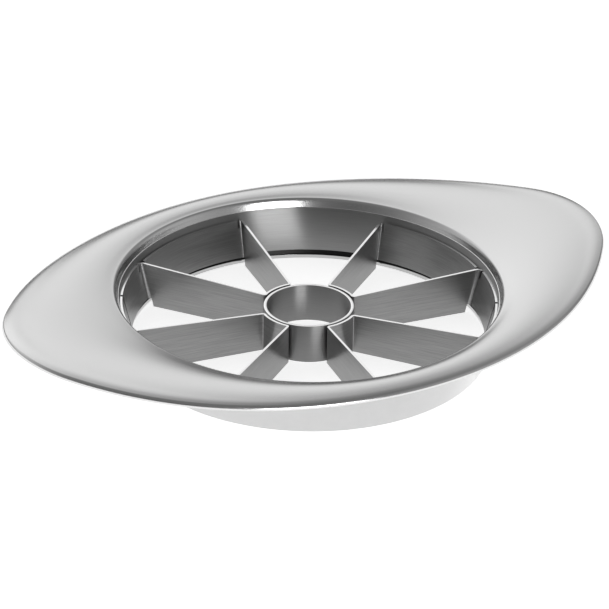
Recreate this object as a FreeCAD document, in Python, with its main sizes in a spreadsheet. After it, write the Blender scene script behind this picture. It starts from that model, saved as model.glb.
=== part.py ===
import FreeCAD, Part
import math
import os
import Sketcher

# Apple slicer wedger press, all in millimetres.
# The press stands on its base ring, the long axis of the handle lies along X.
# A pressed handle frame sits on a tapered base ring. The base ring holds a carrier ring,
# and the carrier holds four bent blade strips that also wrap the core tube in the middle.

os.makedirs("parts", exist_ok=True)
doc = FreeCAD.newDocument("apple_slicer_wedger_press")

# Driving dimensions: alias, value, what it is.
SIZES = [
    ("tip_band", 35.05, "width of the handle from the opening to its tip"),
    ("side_band", 9.45, "width of the handle from the opening to its long edge"),
    ("tip_radius", 32.4, "plan radius of the rounded handle tip"),
    ("lip_step", 0.15, "the rolled lip stands back from the inside of the carrier ring"),
    ("handle_sheet", 1.1, "sheet thickness of the pressed handle"),
    ("lip_rise", 1.45, "height of the straight wall of the lip"),
    ("lip_lean", 0.55, "how far that wall leans out over its height"),
    ("crown_rise", 2.3, "end of the lip bend above the carrier rim"),
    ("crown_inset", 1.6, "from the opening out to the end of the lip bend"),
    ("crown_angle", 19.8, "slope of the domed top behind the lip at the long edges, degrees"),
    ("tip_angle", 12.4, "slope of the domed top behind the lip at the tips, degrees"),
    ("edge_rise", 0.7, "outer edge above the carrier rim at the long edges"),
    ("tip_lift", 3.55, "how much higher the outer edge is at the tips"),
    ("shoulder", 1.4, "depth of the rounded outer edge"),
    ("ring_bottom_radius", 47.6, "outside of the base ring at the table"),
    ("ring_top_radius", 50.93, "outside of the base ring at its top"),
    ("ring_height", 13.6, "height of the base ring"),
    ("ring_wall", 0.7, "wall of the base ring"),
    ("ring_rim", 3.0, "width of the rim turned out at the top of the base ring"),
    ("carrier_wall", 0.5, "wall of the blade carrier ring"),
    ("carrier_lift", 2.6, "carrier lower edge above the table"),
    ("seat_gap", 0.25, "gap between nested sheets"),
    ("core_radius", 11.8, "outside of the core tube"),
    ("core_wall", 0.8, "wall of the core tube"),
    ("blade_sheet", 0.6, "thickness of a blade strip"),
    ("blade_height", 10.55, "height of a blade strip at the core"),
    ("blade_rise", 1.7, "how much higher a blade is at the ring than at the core"),
    ("blade_lift", 0.15, "cutting edges above the table"),
    ("blade_turn_angle", -29.6, "turn of the blade set against the handle, degrees"),
    ("bend_radius", 0.6, "bend of a strip at the core"),
    ("long_flange_angle", 43.4, "strip end that runs along its own eighth, degrees"),
    ("short_flange_angle", 22.0, "strip end that meets the one of the next strip, degrees"),
    ("flange_lift", 2.3, "strip end lower edge above the cutting edge"),
    ("slot_width", 0.8, "bend relief slot"),
    ("slot_depth", 2.0, "bend relief slot depth"),
    ("edge_bevel", 0.25, "bevel of the lower edge of the core tube"),
]

sheet = doc.addObject("Spreadsheet::Sheet", "Sizes")
for row, (alias, value, note) in enumerate(SIZES, start=1):
    sheet.set("A%d" % row, note)
    sheet.set("B%d" % row, str(value))
    sheet.setAlias("B%d" % row, alias)
doc.recompute()


def size(alias):
    """The number that the sheet holds for one named size."""
    return float(sheet.get(alias))


V = FreeCAD.Vector
pieces = []


# Helpers for bodies


def new_body(label):
    body = doc.addObject("PartDesign::Body", label)
    body.Label = label
    pieces.append(body)
    return body


def new_sketch(body, name, role, offset=None):
    """A sketch on one of the body's own origin planes."""
    sketch = body.newObject("Sketcher::SketchObject", name)
    plane = [f for f in body.Origin.OriginFeatures if f.Role == role][0]
    sketch.AttachmentSupport = [(plane, "")]
    sketch.MapMode = "FlatFace"
    if offset is not None:
        sketch.AttachmentOffset = offset
    return sketch


def add_outline(sketch, points):
    """A closed outline of straight lines, its corners joined by constraints."""
    count = len(points)
    first = sketch.GeometryCount
    for i in range(count):
        x0, y0 = points[i]
        x1, y1 = points[(i + 1) % count]
        sketch.addGeometry(Part.LineSegment(V(x0, y0, 0), V(x1, y1, 0)), False)
    for i in range(count):
        following = first + (i + 1) % count
        sketch.addConstraint(Sketcher.Constraint("Coincident", first + i, 2, following, 1))


def revolve(body, sketch, name, angle=360.0, backwards=False, cut=False):
    kind = "PartDesign::Groove" if cut else "PartDesign::Revolution"
    feature = body.newObject(kind, name)
    feature.Profile = sketch
    feature.ReferenceAxis = (sketch, ["V_Axis"])
    feature.Angle = angle
    feature.Reversed = backwards
    sketch.Visibility = False
    return feature


# Levels and radii that several pieces share


ring_height = size("ring_height")
ring_slope = (size("ring_top_radius") - size("ring_bottom_radius")) / ring_height


def ring_outside(z):
    """Outside radius of the tapered base ring at height z."""
    return size("ring_bottom_radius") + ring_slope * z


def carrier_outside(z):
    """The carrier ring nests inside the base ring with one seat gap."""
    return ring_outside(z) - size("ring_wall") - size("seat_gap")


def carrier_inside(z):
    return carrier_outside(z) - size("carrier_wall")


def flange_outside(z):
    """The strip ends nest inside the carrier ring with one seat gap."""
    return carrier_inside(z) - size("seat_gap")


rim_level = ring_height + size("carrier_wall")
opening_radius = carrier_inside(rim_level) + size("lip_step")
handle_half_length = opening_radius + size("tip_band")
handle_half_width = opening_radius + size("side_band")
blade_low = size("blade_lift")
blade_top = blade_low + size("blade_height") + size("blade_rise")


# Base ring: a tapered polished ring with a rim turned out under the handle


base_ring = new_body("base_ring")
profile = new_sketch(base_ring, "ring_profile", "XZ_Plane")
wall = size("ring_wall")
rim_radius = size("ring_top_radius") + size("ring_rim")
add_outline(profile, [
    (ring_outside(0.0) - wall, 0.0),
    (ring_outside(0.0), 0.0),
    (ring_outside(ring_height - wall), ring_height - wall),
    (rim_radius, ring_height - wall),
    (rim_radius, ring_height),
    (ring_outside(ring_height) - wall, ring_height),
])
revolve(base_ring, profile, "ring_turn")


# Blade carrier: a thin brushed ring inside the base ring, its rim lies on the rim of the base ring


carrier = new_body("blade_carrier_ring")
profile = new_sketch(carrier, "carrier_profile", "XZ_Plane")
low = size("carrier_lift")
lip_outside = opening_radius + size("handle_sheet")
add_outline(profile, [
    (carrier_inside(low), low),
    (carrier_outside(low), low),
    (carrier_outside(ring_height), ring_height),
    (lip_outside, ring_height),
    (lip_outside, rim_level),
    (carrier_inside(rim_level), rim_level),
])
revolve(carrier, profile, "carrier_turn")


# Core tube: cuts out the apple core, bevelled at its lower edge


core = new_body("core_tube")
circle = new_sketch(core, "core_circles", "XY_Plane")
circle.addGeometry(Part.Circle(V(0, 0, 0), V(0, 0, 1), size("core_radius")), False)
circle.addGeometry(Part.Circle(V(0, 0, 0), V(0, 0, 1), size("core_radius") - size("core_wall")), False)
for ring_index in (0, 1):
    circle.addConstraint(Sketcher.Constraint("Coincident", ring_index, 3, -1, 1))
outer = circle.addConstraint(Sketcher.Constraint("Radius", 0, size("core_radius")))
inner = circle.addConstraint(Sketcher.Constraint("Radius", 1, size("core_radius") - size("core_wall")))
circle.setExpression("Constraints[%d]" % outer, "Sizes.core_radius * 1mm")
circle.setExpression("Constraints[%d]" % inner, "(Sizes.core_radius - Sizes.core_wall) * 1mm")
tube = core.newObject("PartDesign::Pad", "core_pad")
tube.Profile = circle
tube.Length = size("blade_height")
tube.setExpression("Length", "Sizes.blade_height * 1mm")
circle.Visibility = False
doc.recompute()
bevel_edges = []
for number, edge in enumerate(tube.Shape.Edges, start=1):
    if edge.BoundBox.ZMax < 0.01 and edge.BoundBox.XMax < size("core_radius") - 0.01:
        bevel_edges.append("Edge%d" % number)
bevel = core.newObject("PartDesign::Chamfer", "core_bevel")
bevel.Base = (tube, bevel_edges)
bevel.Size = size("edge_bevel")
bevel.setExpression("Size", "Sizes.edge_bevel * 1mm")
core.Placement.Base = V(0, 0, blade_low)
core.setExpression("Placement.Base.z", "Sizes.blade_lift * 1mm")


# Blade strips: each is one strip bent round an eighth of the core tube, with two blades
# that run out to the carrier ring and end in a turned flange


def polar(radius, degrees):
    return V(radius * math.cos(math.radians(degrees)), radius * math.sin(math.radians(degrees)), 0)


def blade_strip(label, sector, flange_way):
    """One strip. sector is the middle direction of its core wrap in degrees,
    flange_way is 1 when both flanges turn counter-clockwise and -1 when clockwise."""
    body = new_body(label)
    half = size("blade_sheet") / 2.0
    wrap_in = size("core_radius") + size("seat_gap")
    wrap_out = wrap_in + size("blade_sheet")
    reach = ring_outside(ring_height)
    height = size("blade_height") + size("blade_rise")

    # Plan of the strip before its ends are trimmed, the sector lies along X.
    plan = new_sketch(body, label + "_plan", "XY_Plane")
    side = math.radians(22.5)
    along = V(math.cos(side), math.sin(side), 0)
    across = V(-math.sin(side), math.cos(side), 0)

    def on_face(radius, shift):
        """Where a blade face, shifted from the blade's middle plane, crosses a circle."""
        return along * math.sqrt(radius * radius - shift * shift) + across * shift

    def mirrored(point):
        return V(point.x, -point.y, 0)

    wrap_end_out = on_face(wrap_out, -half)
    wrap_end_in = on_face(wrap_in, half)
    tip_near = on_face(reach, -half)
    tip_far = on_face(reach, half)
    plan.addGeometry(Part.Arc(mirrored(wrap_end_out), V(wrap_out, 0, 0), wrap_end_out), False)
    plan.addGeometry(Part.LineSegment(wrap_end_out, tip_near), False)
    plan.addGeometry(Part.LineSegment(tip_near, tip_far), False)
    plan.addGeometry(Part.LineSegment(tip_far, wrap_end_in), False)
    plan.addGeometry(Part.Arc(mirrored(wrap_end_in), V(wrap_in, 0, 0), wrap_end_in), False)
    plan.addGeometry(Part.LineSegment(mirrored(wrap_end_in), mirrored(tip_far)), False)
    plan.addGeometry(Part.LineSegment(mirrored(tip_far), mirrored(tip_near)), False)
    plan.addGeometry(Part.LineSegment(mirrored(tip_near), mirrored(wrap_end_out)), False)
    pad = body.newObject("PartDesign::Pad", label + "_blades")
    pad.Profile = plan
    pad.Length = height
    pad.setExpression("Length", "(Sizes.blade_height + Sizes.blade_rise) * 1mm")
    plan.Visibility = False
    doc.recompute()

    # Bends at the core: the upright edges near the tube are rounded.
    bend_edges = []
    for number, edge in enumerate(pad.Shape.Edges, start=1):
        box = edge.BoundBox
        middle = box.Center
        upright = box.ZLength > height - 0.01 and box.XLength < 0.01
        if upright and math.hypot(middle.x, middle.y) < wrap_out + size("blade_sheet"):
            bend_edges.append("Edge%d" % number)
    bend = body.newObject("PartDesign::Fillet", label + "_bends")
    bend.Base = (pad, bend_edges)
    bend.Radius = size("bend_radius")
    bend.setExpression("Radius", "Sizes.bend_radius * 1mm")

    # The blade ends follow the taper of the carrier ring.
    sheet_thick = size("blade_sheet")
    trim = new_sketch(body, label + "_trim", "XZ_Plane")
    spare = size("blade_sheet")
    over = reach + spare
    low_radius = flange_outside(blade_low)
    top_radius = flange_outside(blade_top)
    add_outline(trim, [
        (low_radius - ring_slope * spare, -spare),
        (over, -spare),
        (over, height + spare),
        (top_radius + ring_slope * spare, height + spare),
    ])
    revolve(body, trim, label + "_ends", cut=True)

    # The top edges slope down from the carrier ring to the core.
    slope = new_sketch(body, label + "_slope", "XZ_Plane")
    add_outline(slope, [
        (0.0, size("blade_height")),
        (wrap_out + sheet_thick, size("blade_height")),
        (top_radius - sheet_thick, height),
        (top_radius - sheet_thick, height + spare),
        (0.0, height + spare),
    ])
    revolve(body, slope, label + "_top", cut=True)

    # The flanges are swept round from the blade's middle plane.
    lift = size("flange_lift")
    lift_radius = flange_outside(blade_low + lift)
    first, second = "long_flange_angle", "short_flange_angle"
    if flange_way > 0:
        first, second = second, first
    for name, degrees, reach_alias in (("_flange_a", 22.5, first), ("_flange_b", -22.5, second)):
        turned = FreeCAD.Placement(V(0, 0, 0), FreeCAD.Rotation(V(0, 1, 0), degrees))
        section = new_sketch(body, label + name + "_section", "XZ_Plane", turned)
        add_outline(section, [
            (lift_radius - sheet_thick, lift),
            (lift_radius, lift),
            (top_radius, height),
            (top_radius - sheet_thick, height),
        ])
        feature = revolve(body, section, label + name, size(reach_alias), flange_way < 0)
        feature.setExpression("Angle", "Sizes.%s * 1deg" % reach_alias)

    # A short relief slot beside each bend, cut down from the top edge.
    slots = new_sketch(body, label + "_slots", "XY_Plane", FreeCAD.Placement(V(0, 0, height), FreeCAD.Rotation()))
    slots.setExpression("AttachmentOffset.Base.z", "(Sizes.blade_height + Sizes.blade_rise) * 1mm")
    slot = size("slot_width")
    for degrees in (22.5, -22.5):
        start = flange_way * (half + 0.5 * slot)
        out = polar(1.0, degrees)
        sideways = V(-out.y, out.x, 0)
        middle = out * top_radius + sideways * (start + flange_way * 0.5 * slot)
        corners = []
        for a, b in ((-2.0, -0.5), (2.0, -0.5), (2.0, 0.5), (-2.0, 0.5)):
            corner = middle + out * (a * sheet_thick) + sideways * (b * slot)
            corners.append((corner.x, corner.y))
        add_outline(slots, corners)
    relief = body.newObject("PartDesign::Pocket", label + "_relief")
    relief.Profile = slots
    relief.Length = size("slot_depth")
    relief.setExpression("Length", "Sizes.slot_depth * 1mm")
    slots.Visibility = False

    body.setExpression(
        "Placement",
        "placement(vector(0; 0; Sizes.blade_lift); rotation(vector(0; 0; 1); %g + Sizes.blade_turn_angle))" % sector)
    return body


blade_strip("blade_strip_right_rear", 45.0, -1)
blade_strip("blade_strip_left_rear", 135.0, 1)
blade_strip("blade_strip_left_front", 225.0, -1)
blade_strip("blade_strip_right_front", 315.0, 1)


# Handle frame: one pressed sheet with an eye-shaped outline of four tangent arcs,
# a lip rolled down into the opening and an outer edge rounded over.
# It changes its section all the way round, so it is lofted through radial sections.


def outline_radius(degrees):
    """Distance from the centre to the eye-shaped outline in one direction."""
    length = handle_half_length
    width = handle_half_width
    tip = size("tip_radius")
    tip_centre = length - tip
    side = (tip_centre ** 2 + width ** 2 - tip ** 2) / (2.0 * (width - tip))
    side_centre = width - side
    c = abs(math.cos(math.radians(degrees)))
    s = abs(math.sin(math.radians(degrees)))
    on_tip = tip_centre * c + math.sqrt(tip ** 2 - (tip_centre * s) ** 2) if tip_centre * s < tip else 0.0
    on_side = side_centre * s + math.sqrt(side ** 2 - (side_centre * c) ** 2)
    # The two arcs touch where the line through their centres leaves the tip arc.
    joint = math.atan2(-side_centre * tip / (side - tip), tip_centre * side / (side - tip))
    return on_tip if math.atan2(s, c) < joint else on_side


def handle_section(degrees):
    """Closed wire of the handle sheet in one radial plane."""
    lip = opening_radius
    edge = outline_radius(degrees)
    gauge = size("handle_sheet")
    shoulder = size("shoulder")
    inset = size("crown_inset")
    share = abs(edge * math.cos(math.radians(degrees))) / handle_half_length
    edge_low = rim_level + size("edge_rise") + size("tip_lift") * share ** 4
    edge_top = edge_low + shoulder
    lip_top = rim_level + size("lip_rise")
    crown = rim_level + size("crown_rise")
    lean = size("lip_lean")
    bend = inset - lean
    rise = crown - lip_top
    span = edge - lip
    flat = span - inset - 0.8 * shoulder

    # Upper skin: the straight wall of the lip and its bend.
    upper = [
        V(lip, 0, rim_level),
        V(lip + 0.5 * lean, 0, (rim_level + lip_top) / 2.0),
        V(lip + lean, 0, lip_top),
        V(lip + lean + 0.25 * bend, 0, crown - 0.45 * rise),
        V(lip + lean + 0.6 * bend, 0, crown - 0.12 * rise),
        V(lip + inset, 0, crown),
    ]
    # Then the domed top, which leaves the bend at a slope that is gentler at the tips.
    steep = math.tan(math.radians(size("crown_angle")))
    gentle = math.tan(math.radians(size("tip_angle")))
    dome = flat * (steep + (gentle - steep) * share ** 2) + crown - edge_top
    for t in (0.15, 0.5, 0.85, 1.0):
        height = crown + (edge_top - crown) * t + dome * t * (1.0 - t)
        upper.append(V(lip + inset + flat * t, 0, height))
    # Then the outer edge, rounded over from the slope of the top to upright.
    slope = (edge_top - crown - dome) / flat
    corner = edge_top + slope * 0.8 * shoulder
    for t in (0.35, 0.7, 1.0):
        across = edge - 0.8 * shoulder * (1.0 - t) ** 2
        height = edge_top * (1.0 - t) ** 2 + 2.0 * corner * t * (1.0 - t) + edge_low * t * t
        upper.append(V(across, 0, height))

    # Lower skin, one sheet thickness inside the upper one. It turns the two bends in one sweep,
    # so the points in the bends themselves are left out.
    lower = []
    last = len(upper) - 1
    for place, point in enumerate(upper):
        if place in (1, 2, 3, 4, last - 3, last - 2, last - 1):
            continue
        along = upper[min(place + 1, last)] - upper[max(place - 1, 0)]
        inward = V(along.z, 0, -along.x)
        if place == 0:
            inward = V(1, 0, 0)
        if place == last:
            inward = V(-1, 0, 0)
        inward.normalize()
        lower.append(point + inward * gauge)

    upper_curve = Part.BSplineCurve()
    upper_curve.interpolate(upper)
    lower_curve = Part.BSplineCurve()
    lower_curve.interpolate(list(reversed(lower)))
    edges = [
        upper_curve.toShape(),
        Part.LineSegment(upper[-1], lower[-1]).toShape(),
        lower_curve.toShape(),
        Part.LineSegment(lower[0], upper[0]).toShape(),
    ]
    wire = Part.Wire(edges)
    wire.rotate(V(0, 0, 0), V(0, 0, 1), degrees)
    return wire


section_count = 36
sections = []
for index in range(section_count):
    sections.append(handle_section(360.0 * index / section_count))
handle = doc.addObject("Part::Feature", "handle_frame")
handle.Label = "handle_frame"
handle.Shape = Part.makeLoft(sections, True, False, True)
pieces.append(handle)

doc.recompute()

for item in doc.Objects:
    state = [word for word in item.State if word in ("Invalid", "Error")]
    if state:
        raise RuntimeError("%s is %s" % (item.Label, state))
for piece in pieces:
    shape = piece.Shape
    if shape.isNull() or not shape.isValid():
        raise RuntimeError("%s has no valid shape" % piece.Label)
    if len(shape.Solids) != 1:
        raise RuntimeError("%s holds %d solids" % (piece.Label, len(shape.Solids)))
    box = shape.BoundBox
    print("%-26s %8.1f mm3  z %6.2f to %6.2f  x %6.1f to %6.1f" % (
        piece.Label, shape.Volume, box.ZMin, box.ZMax, box.XMin, box.XMax))
    shape.exportStep("parts/%s.step" % piece.Label)
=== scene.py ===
# %% [markdown]
# An apple slicer in stainless steel. The CAD part gives every piece its place and size, and this
# script gives the pieces their looks: fine meshes with soft edges, and steel in the finishes
# that a pressed handle, a polished ring and brushed blades have.

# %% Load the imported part
import bpy
import bmesh
import math
from mathutils import Matrix, Vector


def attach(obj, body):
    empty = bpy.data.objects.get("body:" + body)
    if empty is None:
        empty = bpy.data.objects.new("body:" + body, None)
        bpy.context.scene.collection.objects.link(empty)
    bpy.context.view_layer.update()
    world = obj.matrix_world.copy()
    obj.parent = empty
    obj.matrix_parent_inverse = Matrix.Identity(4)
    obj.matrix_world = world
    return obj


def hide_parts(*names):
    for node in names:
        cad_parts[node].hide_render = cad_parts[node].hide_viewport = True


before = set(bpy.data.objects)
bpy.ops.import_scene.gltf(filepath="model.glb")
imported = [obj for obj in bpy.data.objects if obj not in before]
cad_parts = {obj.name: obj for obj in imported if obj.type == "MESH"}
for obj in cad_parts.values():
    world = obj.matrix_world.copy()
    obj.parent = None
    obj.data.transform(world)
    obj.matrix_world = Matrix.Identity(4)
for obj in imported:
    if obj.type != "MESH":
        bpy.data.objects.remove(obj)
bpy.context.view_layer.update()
MM = 0.001

# %% [markdown]
# The same few sizes shape several pieces, so they are written once, before any piece. They could
# be measured from the CAD nodes, but written out they can be read and compared. They repeat the
# sizes of the CAD part, in millimetres.

# %% Sizes that the pieces share
RING_FOOT, RING_TOP, RING_HEIGHT = 47.6, 50.93, 13.6
RING_WALL, RING_RIM = 0.7, 3.0
CARRIER_WALL, CARRIER_LIFT = 0.5, 2.6
RIM_LEVEL = RING_HEIGHT + CARRIER_WALL
RING_SLOPE = (RING_TOP - RING_FOOT) / RING_HEIGHT
SEAT_GAP = 0.25
CORE_OUTSIDE, CORE_WALL = 11.8, 0.8
BLADE_SHEET, BLADE_LOW, BLADE_HEIGHT, BLADE_RISE = 0.6, 0.15, 10.55, 1.7
BLADE_TURN = -29.6
EDGE_BEVEL = 0.25


def ring_outside(z):
    """Outside radius of the tapered base ring at height z."""
    return RING_FOOT + RING_SLOPE * z


def carrier_inside(z):
    """Inside radius of the carrier ring, which nests in the base ring."""
    return ring_outside(z) - RING_WALL - SEAT_GAP - CARRIER_WALL


LIP_STEP, TIP_BAND, SIDE_BAND, TIP_ROUND = 0.15, 35.05, 9.45, 32.4
OPENING = carrier_inside(RIM_LEVEL) + LIP_STEP
HANDLE_LENGTH, HANDLE_WIDTH = OPENING + TIP_BAND, OPENING + SIDE_BAND
print("opening %.2f mm, handle half %.2f by %.2f mm" % (OPENING, HANDLE_LENGTH, HANDLE_WIDTH))

# %% [markdown]
# Every piece ends the same way: its mesh becomes an object at the origin, smooth where it
# curves and crisp where it turns sharply, and it rides on the one rigid body of the part. A UV
# map called upright goes along. In it U rises straight up the piece, which tells the ground
# steel later which way its lines blur a reflection.

# %% Turn a bmesh into a finished piece
UV_PER_METRE = 10


def finish_piece(name, bm, replaced, sharp=35.0):
    bmesh.ops.remove_doubles(bm, verts=bm.verts[:], dist=1e-7)
    upright = bm.loops.layers.uv.new("upright")
    for face in bm.faces:
        middle = face.calc_center_median()
        for corner in face.loops:
            place = corner.vert.co
            turn = place.xy.angle_signed(middle.xy, 0.0)
            corner[upright].uv = (place.z * UV_PER_METRE, place.xy.length * UV_PER_METRE + turn)
    bmesh.ops.recalc_face_normals(bm, faces=bm.faces[:])
    for face in bm.faces:
        face.smooth = True
    for edge in bm.edges:
        if len(edge.link_faces) == 2:
            edge.smooth = edge.calc_face_angle(0.0) < math.radians(sharp)
    mesh = bpy.data.meshes.new(name)
    bm.to_mesh(mesh)
    bm.free()
    piece = bpy.data.objects.new(name, mesh)
    bpy.context.collection.objects.link(piece)
    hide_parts(replaced)
    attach(piece, "root")
    print(name, len(mesh.polygons), "faces")
    return piece


# %% [markdown]
# A ring with a constant section is a closed outline turned once round the upright axis. It
# could be cut from two cylinders, but the spin operator turns the outline in one step and keeps
# the faces in neat columns. The outline is drawn in the XZ plane, as radius and height, and its
# crisp corners get a fine bevel, which catches the light as a real broken edge does.

# %% A helper for turned rings


def turned_ring(outline, steps=240, soften=0.12, crisp_turn=0.6):
    bm = bmesh.new()
    corners = [bm.verts.new((r * MM, 0, z * MM)) for r, z in outline]
    loop = [bm.edges.new((corners[i - 1], corners[i])) for i in range(len(corners))]
    bmesh.ops.spin(bm, geom=corners + loop, cent=(0, 0, 0), axis=(0, 0, 1), angle=math.tau,
                   steps=steps, use_merge=True)
    bmesh.ops.recalc_face_normals(bm, faces=bm.faces[:])
    crisp = [e for e in bm.edges if len(e.link_faces) == 2 and e.calc_face_angle(0.0) > crisp_turn]
    bmesh.ops.bevel(bm, geom=crisp, offset=soften * MM, affect="EDGES", segments=2,
                    profile=0.5, material=-1)
    print("ring turned in", steps, "steps")
    return bm


# %% [markdown]
# The handle frame is one sheet of steel, pressed over a die. Seen from above its outline is an
# eye made of four arcs that touch. The lip is rolled down into the opening, the top is domed,
# and the outer edge is rounded over. The section changes all the way round, so a plain spin
# isn't enough: the section is spun first, and then each point moves to its place in the
# section for its own direction.

# %% The eye-shaped outline
tip_centre = HANDLE_LENGTH - TIP_ROUND
side_reach = tip_centre ** 2 + HANDLE_WIDTH ** 2 - TIP_ROUND ** 2
side_round = side_reach / (2 * (HANDLE_WIDTH - TIP_ROUND))
side_centre = HANDLE_WIDTH - side_round
joint_way = math.atan2(-side_centre * TIP_ROUND / (side_round - TIP_ROUND),
                       tip_centre * side_round / (side_round - TIP_ROUND))


def outline_radius(turn):
    """Distance from the middle to the outline in one direction."""
    c, s = abs(math.cos(turn)), abs(math.sin(turn))
    if math.atan2(s, c) < joint_way:
        return tip_centre * c + math.sqrt(TIP_ROUND ** 2 - (tip_centre * s) ** 2)
    return side_centre * s + math.sqrt(side_round ** 2 - (side_centre * c) ** 2)


print("side arc radius %.1f mm" % side_round)

# %% [markdown]
# The section is drawn as a few points from the opening to the outer edge: a short leaning lip,
# a tight bend, a dome that starts steeply and falls gently, and a rounded shoulder. A smooth
# curve goes through them, so the reflections on the steel run without a kink. The lower skin is
# the same line set inwards by the sheet's thickness.

# %% Sizes of the section
LIP_RISE, LIP_LEAN = 1.45, 0.55
CROWN_RISE, CROWN_INSET = 2.3, 1.6
CROWN_SLOPE, TIP_SLOPE = math.tan(math.radians(19.8)), math.tan(math.radians(12.4))
SHOULDER, HANDLE_SHEET = 1.4, 1.1
SHOULDER_REACH = 0.8 * SHOULDER
EDGE_RISE, TIP_LIFT = 0.7, 3.55
# How far across the bend from lip to crown a point is, and how far it is still below the crown.
LIP_BEND = [(0.25, 0.45), (0.6, 0.12)]
DOME_SHARES = [0.15, 0.5, 0.85, 1.0]
SHOULDER_SHARES = [0.35, 0.7, 1.0]
# The lower skin runs straight past the tight bends, which would fold it over itself.
BENDS_LEFT_OUT = [1, 2, 3, 4, -4, -3, -2]
print("dome starts at a slope of %.2f, %.2f at the tips" % (CROWN_SLOPE, TIP_SLOPE))

# %% The section of the sheet in one direction


def curve_through(points, per_span=6):
    """Points on a smooth curve through the given ones. Each span counts with its own length."""
    spans = [(b - a).length for a, b in zip(points, points[1:])]
    ways = [(b - a) / span for a, b, span in zip(points, points[1:], spans)]
    slopes = [ways[0]]
    for i in range(1, len(ways)):
        slopes.append((ways[i - 1] * spans[i] + ways[i] * spans[i - 1]) / (spans[i - 1] + spans[i]))
    slopes.append(ways[-1])
    out = []
    for i, span in enumerate(spans):
        for k in range(per_span):
            u = k / per_span
            leaving = points[i] * (2 * u ** 3 - 3 * u ** 2 + 1) + slopes[i] * span * (u ** 3 - 2 * u ** 2 + u)
            arriving = points[i + 1] * (3 * u ** 2 - 2 * u ** 3) + slopes[i + 1] * span * (u ** 3 - u ** 2)
            out.append(leaving + arriving)
    return out + [points[-1]]


def sheet_section(turn):
    """The closed section as (radius, height): the upper skin outwards, the lower skin back."""
    edge = outline_radius(turn)
    share = abs(edge * math.cos(turn)) / HANDLE_LENGTH
    edge_low = RIM_LEVEL + EDGE_RISE + TIP_LIFT * share ** 4
    edge_top = edge_low + SHOULDER
    crown = RIM_LEVEL + CROWN_RISE
    flat = edge - OPENING - CROWN_INSET - SHOULDER_REACH
    upper = [Vector((OPENING, RIM_LEVEL)),
             Vector((OPENING + 0.5 * LIP_LEAN, RIM_LEVEL + 0.5 * LIP_RISE)),
             Vector((OPENING + LIP_LEAN, RIM_LEVEL + LIP_RISE))]
    for across, below in LIP_BEND:
        upper.append(Vector((OPENING + LIP_LEAN + across * (CROWN_INSET - LIP_LEAN),
                             crown - below * (CROWN_RISE - LIP_RISE))))
    upper.append(Vector((OPENING + CROWN_INSET, crown)))
    dome = flat * (CROWN_SLOPE + (TIP_SLOPE - CROWN_SLOPE) * share ** 2) + crown - edge_top
    for t in DOME_SHARES:
        upper.append(Vector((OPENING + CROWN_INSET + flat * t,
                             crown + (edge_top - crown) * t + dome * t * (1 - t))))
    corner = edge_top + (edge_top - crown - dome) / flat * SHOULDER_REACH
    for t in SHOULDER_SHARES:
        upper.append(Vector((edge - SHOULDER_REACH * (1 - t) ** 2,
                             edge_top * (1 - t) ** 2 + 2 * corner * t * (1 - t) + edge_low * t * t)))
    lower = []
    for i, point in enumerate(upper):
        if i in BENDS_LEFT_OUT or i - len(upper) in BENDS_LEFT_OUT:
            continue
        along = upper[min(i + 1, len(upper) - 1)] - upper[max(i - 1, 0)]
        inward = Vector((along.y, -along.x)).normalized()
        if i == 0:
            inward = Vector((1, 0))
        if i == len(upper) - 1:
            inward = Vector((-1, 0))
        lower.append(point + inward * HANDLE_SHEET)
    return curve_through(upper) + curve_through(lower)[::-1]


SHEET_POINTS = len(sheet_section(0.0))
print("section points", SHEET_POINTS)

# %% Spin the section and move each point to its place
SPOKE_STEP = 0.01
bm = bmesh.new()
spokes = [bm.verts.new((1 + SPOKE_STEP * i, 0, 0)) for i in range(SHEET_POINTS)]
around = [bm.edges.new((spokes[i - 1], spokes[i])) for i in range(SHEET_POINTS)]
bmesh.ops.spin(bm, geom=spokes + around, cent=(0, 0, 0), axis=(0, 0, 1), angle=math.tau,
               steps=288, use_merge=True)
sections = {}
for vert in bm.verts:
    place = round((vert.co.xy.length - 1) / SPOKE_STEP)
    turn = math.atan2(vert.co.y, vert.co.x)
    key = round(turn, 5)
    if key not in sections:
        sections[key] = sheet_section(turn)
    radius, height = sections[key][place]
    vert.co = (radius * math.cos(turn) * MM, radius * math.sin(turn) * MM, height * MM)
handle = finish_piece("handle_sheet", bm, "handle_frame", sharp=50.0)

# %% [markdown]
# The base ring is what the press stands on: a tapered band, polished like a mirror, with a rim
# turned out under the handle. The wall is full at the foot hem and thinner above it, which
# leaves a gap between this ring and the next; above the hem the inside of the wall is painted
# dark, as painted shade for that gap. The carrier ring nests inside and has a thin rim on top.
# The core tube is a plain short tube, bevelled at its cutting end. All three are turned rings.

# %% Base ring
FOOT_HEM = 1.1
THIN_WALL_TOP, THIN_WALL_FOOT = 0.5, 0.3
foot = turned_ring([(RING_FOOT - RING_WALL, FOOT_HEM), (RING_FOOT - RING_WALL, 0.0), (RING_FOOT, 0.0),
                    (ring_outside(RING_HEIGHT - RING_WALL), RING_HEIGHT - RING_WALL),
                    (RING_TOP + RING_RIM, RING_HEIGHT - RING_WALL), (RING_TOP + RING_RIM, RING_HEIGHT),
                    (RING_TOP - THIN_WALL_TOP, RING_HEIGHT), (RING_FOOT - THIN_WALL_FOOT, FOOT_HEM)])
foot_ring = finish_piece("polished_foot_ring", foot, "base_ring")

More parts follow.
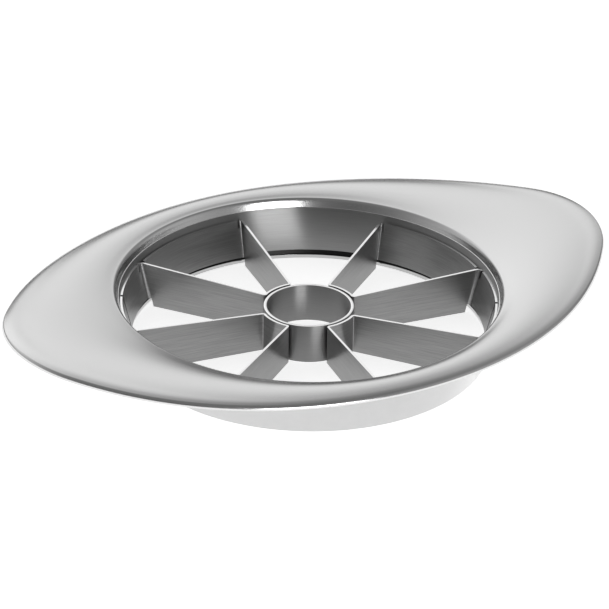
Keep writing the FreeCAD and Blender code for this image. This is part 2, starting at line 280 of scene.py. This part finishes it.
# %% Carrier ring
band = turned_ring([(carrier_inside(CARRIER_LIFT), CARRIER_LIFT),
                    (carrier_inside(CARRIER_LIFT) + CARRIER_WALL, CARRIER_LIFT),
                    (carrier_inside(RING_HEIGHT) + CARRIER_WALL, RING_HEIGHT),
                    (OPENING + HANDLE_SHEET, RING_HEIGHT), (OPENING + HANDLE_SHEET, RIM_LEVEL),
                    (carrier_inside(RIM_LEVEL), RIM_LEVEL)])
carrier_band = finish_piece("carrier_band", band, "blade_carrier_ring")

# %% Core tube
core_top, core_inside = BLADE_LOW + BLADE_HEIGHT, CORE_OUTSIDE - CORE_WALL
sleeve = turned_ring([(core_inside + EDGE_BEVEL, BLADE_LOW), (CORE_OUTSIDE, BLADE_LOW),
                      (CORE_OUTSIDE, core_top), (core_inside, core_top),
                      (core_inside, BLADE_LOW + EDGE_BEVEL)], steps=160)
core_sleeve = finish_piece("core_sleeve", sleeve, "core_tube")

# %% [markdown]
# A blade strip is one flat strip of steel: a turned end along the carrier ring, a blade, a bend
# round an eighth of the core tube, the second blade and the second turned end. Eight separate
# blades would be easier, but the bends beside the tube are what shows that it is one strip. It
# starts as a line of points in plan, follows that path, and is extruded upwards row by row.
# Solidify then gives the sheet its thickness.

# %% Sizes of a strip
BEND = 0.9
WRAP = CORE_OUTSIDE + SEAT_GAP + BLADE_SHEET / 2
STRIP_TOP = BLADE_HEIGHT + BLADE_RISE
REACH = carrier_inside(BLADE_LOW + STRIP_TOP) - SEAT_GAP - BLADE_SHEET / 2
LONG_FLANGE, SHORT_FLANGE = math.radians(43.4), math.radians(22.0)
FLANGE_LIFT, SLOT_DEPTH = 2.3, 2.0
# Where the bend of a turned end is over, and where the relief slot beside it is over, in radians.
BEND_OVER, SLOT_OVER = 0.036, 0.052
# How far the points of a blade stay from its bends, and how much of the half sector the points
# on the tube cover. The bends fill the rest.
BLADE_MARGIN, WRAP_SHARE = 1.6, 0.82
FLANGE_STEPS, BLADE_STEPS, WRAP_STEPS = 28, 16, 10
KINDS = ["flange", "bend", "blade", "core"]
print("strip from %.2f mm at the tube to %.2f mm at the ring" % (WRAP, REACH))

# %% The path of a strip in plan


def on_circle(radius, turn):
    return Vector((radius * math.cos(turn), radius * math.sin(turn)))


def bend_points(corner, before, after, radius=BEND, steps=5):
    """Replaces a sharp corner by a small arc between the directions to its two neighbours."""
    into, out = (before - corner).normalized(), (after - corner).normalized()
    half = into.angle(out) / 2
    start, end = corner + into * radius / math.tan(half), corner + out * radius / math.tan(half)
    centre = corner + (into + out).normalized() * radius / math.sin(half)
    arc = []
    for i in range(steps + 1):
        way = (start - centre).lerp(end - centre, i / steps)
        arc.append(centre + way.normalized() * radius)
    return arc


def strip_path(flange_way):
    """Points and kinds of one strip, its sector along +X, flanges turned by flange_way."""
    side = math.radians(22.5)
    path = []

    def flange(turn, outwards):
        span = LONG_FLANGE if turn * flange_way < 0 else SHORT_FLANGE
        starts = [BEND_OVER, SLOT_OVER]
        for i in range(1, FLANGE_STEPS + 1):
            starts.append(SLOT_OVER + (span - SLOT_OVER) * i / FLANGE_STEPS)
        points = [on_circle(REACH, turn + flange_way * start) for start in starts]
        return [(p, "flange") for p in (points if outwards else points[::-1])]

    def blade(turn, outwards):
        straight = REACH - WRAP - 2 * BLADE_MARGIN
        points = [on_circle(WRAP + BLADE_MARGIN + straight * i / BLADE_STEPS, turn)
                  for i in range(BLADE_STEPS + 1)]
        return [(p, "blade") for p in (points if outwards else points[::-1])]

    def corner(radius, turn, towards, outwards, kind):
        hub_first = on_circle(radius, turn)
        along = on_circle(radius, turn + towards)
        inward = on_circle((WRAP + REACH) / 2, turn)
        arc = bend_points(hub_first, inward, along)
        return [(p, kind) for p in (arc if outwards else arc[::-1])]

    path += flange(-side, False)
    path += corner(REACH, -side, flange_way * 0.05, False, "bend")
    path += blade(-side, False)
    path += corner(WRAP, -side, 0.2, True, "core")
    path += [(on_circle(WRAP, step / WRAP_STEPS * side * WRAP_SHARE), "core")
             for step in range(1 - WRAP_STEPS, WRAP_STEPS)]
    path += corner(WRAP, side, -0.2, False, "core")
    path += blade(side, True)
    path += corner(REACH, side, flange_way * 0.05, True, "bend")
    path += flange(side, True)
    return path


print("points in one strip", len(strip_path(1)))

# %% Extrude the path into a strip


def blade_strip(name, replaced, sector, flange_way):
    path = strip_path(flange_way)
    bm = bmesh.new()
    kinds = bm.verts.layers.int.new("kind")
    row = []
    for point, kind in path:
        vert = bm.verts.new((point.x * MM, point.y * MM, 0))
        vert[kinds] = KINDS.index(kind)
        row.append(vert)
    edges = [bm.edges.new((a, b)) for a, b in zip(row, row[1:])]
    heights = [0.0, FLANGE_LIFT, 5.0, 7.5, STRIP_TOP - SLOT_DEPTH, STRIP_TOP]
    for below, above in zip(heights, heights[1:]):
        made = bmesh.ops.extrude_edge_only(bm, edges=edges)["geom"]
        verts = [g for g in made if isinstance(g, bmesh.types.BMVert)]
        bmesh.ops.translate(bm, verts=verts, vec=(0, 0, (above - below) * MM))
        edges = [g for g in made if isinstance(g, bmesh.types.BMEdge)
                 and all(abs(v.co.z - above * MM) < 1e-6 for v in g.verts)]
    # The flanges start higher than the cutting edge, and a relief slot is open beside each bend.
    spare = []
    for face in bm.faces:
        here = {KINDS[v[kinds]] for v in face.verts}
        height = face.calc_center_median().z
        if here <= {"flange", "bend"} and height < FLANGE_LIFT * MM:
            spare.append(face)
        elif here == {"flange", "bend"} and height > (STRIP_TOP - SLOT_DEPTH) * MM:
            spare.append(face)
    bmesh.ops.delete(bm, geom=spare, context="FACES")
    # The outer ends follow the taper of the carrier ring, and the top slopes down to the core.
    for vert in bm.verts:
        radius = vert.co.xy.length
        drop = RING_SLOPE * (STRIP_TOP * MM - vert.co.z)
        share = (radius - WRAP * MM) / ((REACH - WRAP) * MM)
        vert.co.z *= 1 - BLADE_RISE / STRIP_TOP * (1 - min(1.0, max(0.0, share)))
        scale = (radius - max(0.0, share) * drop) / radius
        vert.co.x *= scale
        vert.co.y *= scale
    bmesh.ops.solidify(bm, geom=bm.faces[:], thickness=BLADE_SHEET * MM)
    turn = Matrix.Rotation(math.radians(sector + BLADE_TURN), 4, "Z")
    bmesh.ops.transform(bm, matrix=turn, verts=bm.verts[:])
    bmesh.ops.translate(bm, verts=bm.verts[:], vec=(0, 0, BLADE_LOW * MM))
    return finish_piece(name, bm, replaced, sharp=40.0)


# %% [markdown]
# The four strips are one shape at four places round the tube. The long turned end lies on the
# left of some and on the right of others, as the real ones are bent, so each is told its way.

# %% The four strips
strips = [
    blade_strip("strip_right_rear", "blade_strip_right_rear", 45.0, -1),
    blade_strip("strip_left_rear", "blade_strip_left_rear", 135.0, 1),
    blade_strip("strip_left_front", "blade_strip_left_front", 225.0, -1),
    blade_strip("strip_right_front", "blade_strip_right_front", 315.0, 1),
]

# %% [markdown]
# Stainless steel is a neutral grey metal. Every piece here is made of it, and the finish makes
# the difference: how rough the surface is, and which way the ground lines run. The lines of a
# real grinding belt are about 0.05 mm apart, too fine to show here, so they are drawn coarser,
# 8 to 12 to the millimetre upwards and stretched along the strip.

# %% A small node helper and one function for steel


def linear(code):
    """A colour written as an sRGB hex code, in linear values."""
    parts = [int(code[i:i + 2], 16) / 255 for i in (1, 3, 5)]
    return [c / 12.92 if c <= 0.04045 else ((c + 0.055) / 1.055) ** 2.4 for c in parts] + [1.0]


def add(tree, kind, settings=None, links=None, **values):
    """Adds a node: settings are its own properties, values its socket numbers, links its inputs."""
    node = tree.nodes.new(kind)
    for key, value in (settings or {}).items():
        setattr(node, key, value)
    for key, value in values.items():
        node.inputs[key.replace("_", " ")].default_value = value
    for key, source in (links or {}).items():
        tree.links.new(source, node.inputs[key])
    return node


def steel(name, colour, roughness, grain=None, grain_depth=0.0, tint=0.0, upright_blur=0.0):
    """Steel with ground lines. grain is the size of the pattern along X, Y and Z in lines per mm.

    upright_blur spreads reflections up and down, as level ground lines do. Its direction comes
    from the UV map of the piece, in which U rises straight up.
    """
    material = bpy.data.materials.new(name)
    material.use_nodes = True
    tree = material.node_tree
    shader = tree.nodes["Principled BSDF"]
    shader.inputs["Metallic"].default_value = 1.0
    shader.inputs["Roughness"].default_value = roughness
    shader.inputs["Base Color"].default_value = linear(colour)
    if upright_blur:
        upright = add(tree, "ShaderNodeTangent", {"direction_type": "UV_MAP", "uv_map": "upright"})
        tree.links.new(upright.outputs["Tangent"], shader.inputs["Tangent"])
        shader.inputs["Anisotropic"].default_value = upright_blur
    if grain:
        where = add(tree, "ShaderNodeTexCoord")
        scaled = add(tree, "ShaderNodeMapping", links={"Vector": where.outputs["Object"]},
                     Scale=[g * 1000 for g in grain])
        lines = add(tree, "ShaderNodeTexNoise", {"noise_dimensions": "3D"},
                    {"Vector": scaled.outputs["Vector"]}, Scale=1.0, Detail=3.0, Roughness=0.6)
        if tint:
            shade = add(tree, "ShaderNodeMapRange", links={"Value": lines.outputs["Fac"]},
                        From_Min=0.3, From_Max=0.7, To_Min=1.0 - tint, To_Max=1.0)
            colour_node = add(tree, "ShaderNodeMix", {"data_type": "RGBA", "blend_type": "MULTIPLY"})
            colour_node.inputs[0].default_value = 1.0
            colour_node.inputs[6].default_value = linear(colour)
            tree.links.new(shade.outputs["Result"], colour_node.inputs[7])
            tree.links.new(colour_node.outputs[2], shader.inputs["Base Color"])
        bump = add(tree, "ShaderNodeBump", links={"Height": lines.outputs["Fac"]},
                   Strength=1.0, Distance=grain_depth * MM)
        tree.links.new(bump.outputs["Normal"], shader.inputs["Normal"])
    return material


def paint(piece, material):
    piece.data.materials.clear()
    piece.data.materials.append(material)


# %% [markdown]
# Seven steels are enough for the whole object: five finishes, a painted highlight for the faces
# that look upwards and a painted shade for the inside of the base ring. Tints differ a little from
# finish to finish, because a surface whose lines throw light aside looks darker than a polished one.

# %% The finishes, the painted highlight and the painted shade
# Satin rolled sheet: soft wide highlights and no visible lines.
satin = steel("satin_stainless", "#DCDCDC", 0.2, (1.5, 1.5, 1.5), 0.002, 0.03)
# Mirror polish: it shows the table and the light tent almost sharply.
mirror = steel("mirror_polished_stainless", "#C2C2C2", 0.07, (0.4, 0.4, 0.4), 0.001, 0.02)
# Ground ring: level lines pull each highlight into a tall band.
ring_ground = steel("ring_ground_stainless", "#A2A2A2", 0.36, (0.12, 0.12, 12.0), 0.002, 0.16, 1.0)
# Ground tube: the same lines, a little rougher, so its stripe is softer.
core_ground = steel("core_ground_stainless", "#AEAEAE", 0.45, (0.12, 0.12, 12.0), 0.002, 0.16, 1.0)
# Ground strip: coarser lines along the blade, that show as streaks.
strip_ground = steel("strip_ground_stainless", "#A6A6A6", 0.3, (0.12, 0.12, 8.0), 0.004, 0.3, 0.9)
# Painted highlight: a much lighter steel for every face that looks upwards, the tops of the strips, the tube
# and the carrier ring, a thin light line.
painted_highlight_steel = steel("painted_highlight_top_faces", "#F2F2F2", 0.15)
# Painted shade: a dark steel for the inside of the base ring above the foot hem, since the gap there sees
# little but the other ring.
painted_shade_steel = steel("painted_shade_ring_inside", "#3A3A3A", 0.4, (1.5, 1.5, 1.5), 0.002, 0.05)

# %% Give each piece its finish, and paint the highlight and the shade
UPWARD = 0.7
paint(handle, satin)
paint(foot_ring, mirror)
paint(carrier_band, ring_ground)
paint(core_sleeve, core_ground)
for strip in strips:
    paint(strip, strip_ground)
# Painted highlight: the faces that look upwards get the light steel.
for piece in [carrier_band, core_sleeve] + strips:
    piece.data.materials.append(painted_highlight_steel)
    for polygon in piece.data.polygons:
        if polygon.normal.z > UPWARD:
            polygon.material_index = 1
# Painted shade: the inward faces of the base ring above the foot hem get the dark steel.
foot_ring.data.materials.append(painted_shade_steel)
for polygon in foot_ring.data.polygons:
    if polygon.center.xy.dot(polygon.normal.xy) < 0 and polygon.center.z > FOOT_HEM * MM:
        polygon.material_index = 1
print("materials", [m.name for m in bpy.data.materials])

# %% [markdown]
# The camera stands where the photographer stood: well back with a long lens, 28 degrees above
# the table, and turned about 61 degrees from the long axis of the handle. These angles were
# fitted to the outline in the photo, and so were the lens and the two small shifts.

# %% Camera
LOOK = math.radians(60.8)
TILT = math.radians(28.3)
ROLL = math.radians(0.9)
DISTANCE = 1.1
PIXELS_PER_MM = 3.83
PICTURE_WIDTH = 609
SENSOR_WIDTH = 36
SHIFT_RIGHT, SHIFT_UP = -4.3, 0.5
TARGET_HEIGHT = 0.0107
target = Vector((0, 0, TARGET_HEIGHT))
back = Vector((-math.cos(LOOK) * math.cos(TILT), -math.sin(LOOK) * math.cos(TILT), math.sin(TILT)))
camera_data = bpy.data.cameras.new("camera")
camera = bpy.data.objects.new("camera", camera_data)
bpy.context.collection.objects.link(camera)
camera.location = target + back * DISTANCE
facing = back.to_track_quat("Z", "Y").to_matrix() @ Matrix.Rotation(ROLL, 3, "Z")
camera.rotation_euler = facing.to_euler()
camera_data.sensor_width = SENSOR_WIDTH
camera_data.lens = PIXELS_PER_MM * DISTANCE * 1000 * SENSOR_WIDTH / PICTURE_WIDTH
camera_data.shift_x = SHIFT_RIGHT / PICTURE_WIDTH
camera_data.shift_y = SHIFT_UP / PICTURE_WIDTH
camera_data.clip_start = 0.01
bpy.context.scene.camera = camera
print("lens %.0f mm" % camera_data.lens)

# %% [markdown]
# Polished steel shows its surroundings, so the studio draws the shades on it. The world is a
# light tent: one wide bright wall beyond the table, a little above the horizon, and the rest
# dimmer, with two paler walls left and right and a pale ceiling, so that the steel reads from
# every side. One upright softbox stands low on the right of the camera.

# %% The bright wall beyond the table
WALL_TURN, WALL_ACROSS, WALL_UP, WALL_FALL = math.radians(20), 0.92, 0.39, 3.5
DIMMEST, BRIGHTEST = 0.13, 1.12
scene = bpy.context.scene
scene.view_settings.view_transform = "Standard"
world = bpy.data.worlds.new("light_tent")
scene.world = world
world.use_nodes = True
sky = world.node_tree
sky.nodes.clear()
way = add(sky, "ShaderNodeTexCoord")
far_side = Vector((-back.x, -back.y, 0)).normalized()
toward = add(sky, "ShaderNodeVectorMath", {"operation": "DOT_PRODUCT"}, {0: way.outputs["Generated"]})
toward.inputs[1].default_value = (Matrix.Rotation(WALL_TURN, 3, "Z") @ far_side * WALL_ACROSS
                                  + Vector((0, 0, WALL_UP)))
ahead = add(sky, "ShaderNodeMapRange", links={"Value": toward.outputs["Value"]})
fall = add(sky, "ShaderNodeMath", {"operation": "POWER"}, {0: ahead.outputs["Result"]})
fall.inputs[1].default_value = WALL_FALL
parts_of_way = add(sky, "ShaderNodeSeparateXYZ", links={0: way.outputs["Generated"]})
horizon = add(sky, "ShaderNodeMapRange", {"interpolation_type": "SMOOTHSTEP"},
              {"Value": parts_of_way.outputs["Z"]},
              From_Min=0.1, From_Max=0.36, To_Min=0.03, To_Max=1.0)
both = add(sky, "ShaderNodeMath", {"operation": "MULTIPLY"},
           {0: fall.outputs["Value"], 1: horizon.outputs["Result"]})
shade = add(sky, "ShaderNodeMapRange", links={"Value": both.outputs["Value"]},
            To_Min=DIMMEST, To_Max=BRIGHTEST)
print("bright wall", [round(c, 2) for c in toward.inputs[1].default_value])

# %% The side walls and the ceiling, added to it
SIDE_TURN, SIDE_FALL, SIDE_LIGHT, CEILING_LIGHT = math.radians(84), 4.0, 0.4, 0.05
along_walls = add(sky, "ShaderNodeVectorMath", {"operation": "DOT_PRODUCT"},
                  {0: way.outputs["Generated"]})
along_walls.inputs[1].default_value = Matrix.Rotation(SIDE_TURN, 3, "Z") @ far_side
either = add(sky, "ShaderNodeMath", {"operation": "ABSOLUTE"}, {0: along_walls.outputs["Value"]})
walls = add(sky, "ShaderNodeMath", {"operation": "POWER"}, {0: either.outputs["Value"]})
walls.inputs[1].default_value = SIDE_FALL
ceiling = add(sky, "ShaderNodeMapRange", {"interpolation_type": "SMOOTHSTEP"},
              {"Value": parts_of_way.outputs["Z"]},
              From_Min=0.3, From_Max=0.65, To_Min=0.0, To_Max=CEILING_LIGHT)
room = add(sky, "ShaderNodeMath", {"operation": "MULTIPLY_ADD"},
           {0: walls.outputs["Value"], 2: shade.outputs["Result"]})
room.inputs[1].default_value = SIDE_LIGHT
total = add(sky, "ShaderNodeMath", {"operation": "ADD"},
            {0: room.outputs["Value"], 1: ceiling.outputs["Result"]})
glow = add(sky, "ShaderNodeBackground", links={"Strength": total.outputs["Value"]})
glow.inputs["Color"].default_value = (1, 1, 1, 1)
add(sky, "ShaderNodeOutputWorld", links={"Surface": glow.outputs["Background"]})
print("world nodes", len(sky.nodes))

# %% Softbox
BOX_WIDTH, BOX_HEIGHT, BOX_POWER = 0.42, 0.36, 2.9
BOX_TURN, BOX_DISTANCE, BOX_LEVEL = math.radians(22), 0.88, 0.2
AIM = Vector((0, 0, 0.01))
box_data = bpy.data.lights.new("softbox", "AREA")
box_data.shape = "RECTANGLE"
box_data.size, box_data.size_y = BOX_WIDTH, BOX_HEIGHT
box_data.energy = BOX_POWER
softbox = bpy.data.objects.new("softbox", box_data)
bpy.context.collection.objects.link(softbox)
to_box = Matrix.Rotation(BOX_TURN, 3, "Z") @ Vector((back.x, back.y, 0)).normalized()
softbox.location = to_box * BOX_DISTANCE + Vector((0, 0, BOX_LEVEL))
softbox.rotation_euler = (softbox.location - AIM).to_track_quat("Z", "Y").to_euler()
print("softbox at", [round(c, 2) for c in softbox.location])

# %% [markdown]
# The table is a wide pale disc with no shine. Its colour alone would come out grey in this dim
# room, and more light on it would be more light on the steel too. So it glows by itself, but
# only for the camera and for reflections. It still takes the shadow of the press.

# %% Floor
FLOOR_RADIUS, FLOOR_GLOW, FLOOR_WHITE = 3.0, 0.76, 0.9
bm = bmesh.new()
bmesh.ops.create_circle(bm, cap_ends=True, segments=96, radius=FLOOR_RADIUS)
floor_mesh = bpy.data.meshes.new("floor")
bm.to_mesh(floor_mesh)
bm.free()
floor = bpy.data.objects.new("floor", floor_mesh)
bpy.context.collection.objects.link(floor)
floor_material = bpy.data.materials.new("white_table")
floor_material.use_nodes = True
table = floor_material.node_tree
matt = table.nodes["Principled BSDF"]
matt.inputs["Base Color"].default_value = (FLOOR_WHITE, FLOOR_WHITE, FLOOR_WHITE, 1)
matt.inputs["Roughness"].default_value = 1.0
matt.inputs["Specular IOR Level"].default_value = 0.0
path_kind = add(table, "ShaderNodeLightPath")
seen = add(table, "ShaderNodeMath", {"operation": "MAXIMUM"},
           {0: path_kind.outputs["Is Camera Ray"], 1: path_kind.outputs["Is Glossy Ray"]})
seen_all = add(table, "ShaderNodeMath", {"operation": "MAXIMUM"},
               {0: seen.outputs["Value"], 1: path_kind.outputs["Is Transmission Ray"]})
lift = add(table, "ShaderNodeMath", {"operation": "MULTIPLY"}, {0: seen_all.outputs["Value"]})
lift.inputs[1].default_value = FLOOR_GLOW
table.links.new(lift.outputs["Value"], matt.inputs["Emission Strength"])
matt.inputs["Emission Color"].default_value = (1, 1, 1, 1)
floor.data.materials.append(floor_material)
print("floor of", FLOOR_RADIUS, "m")
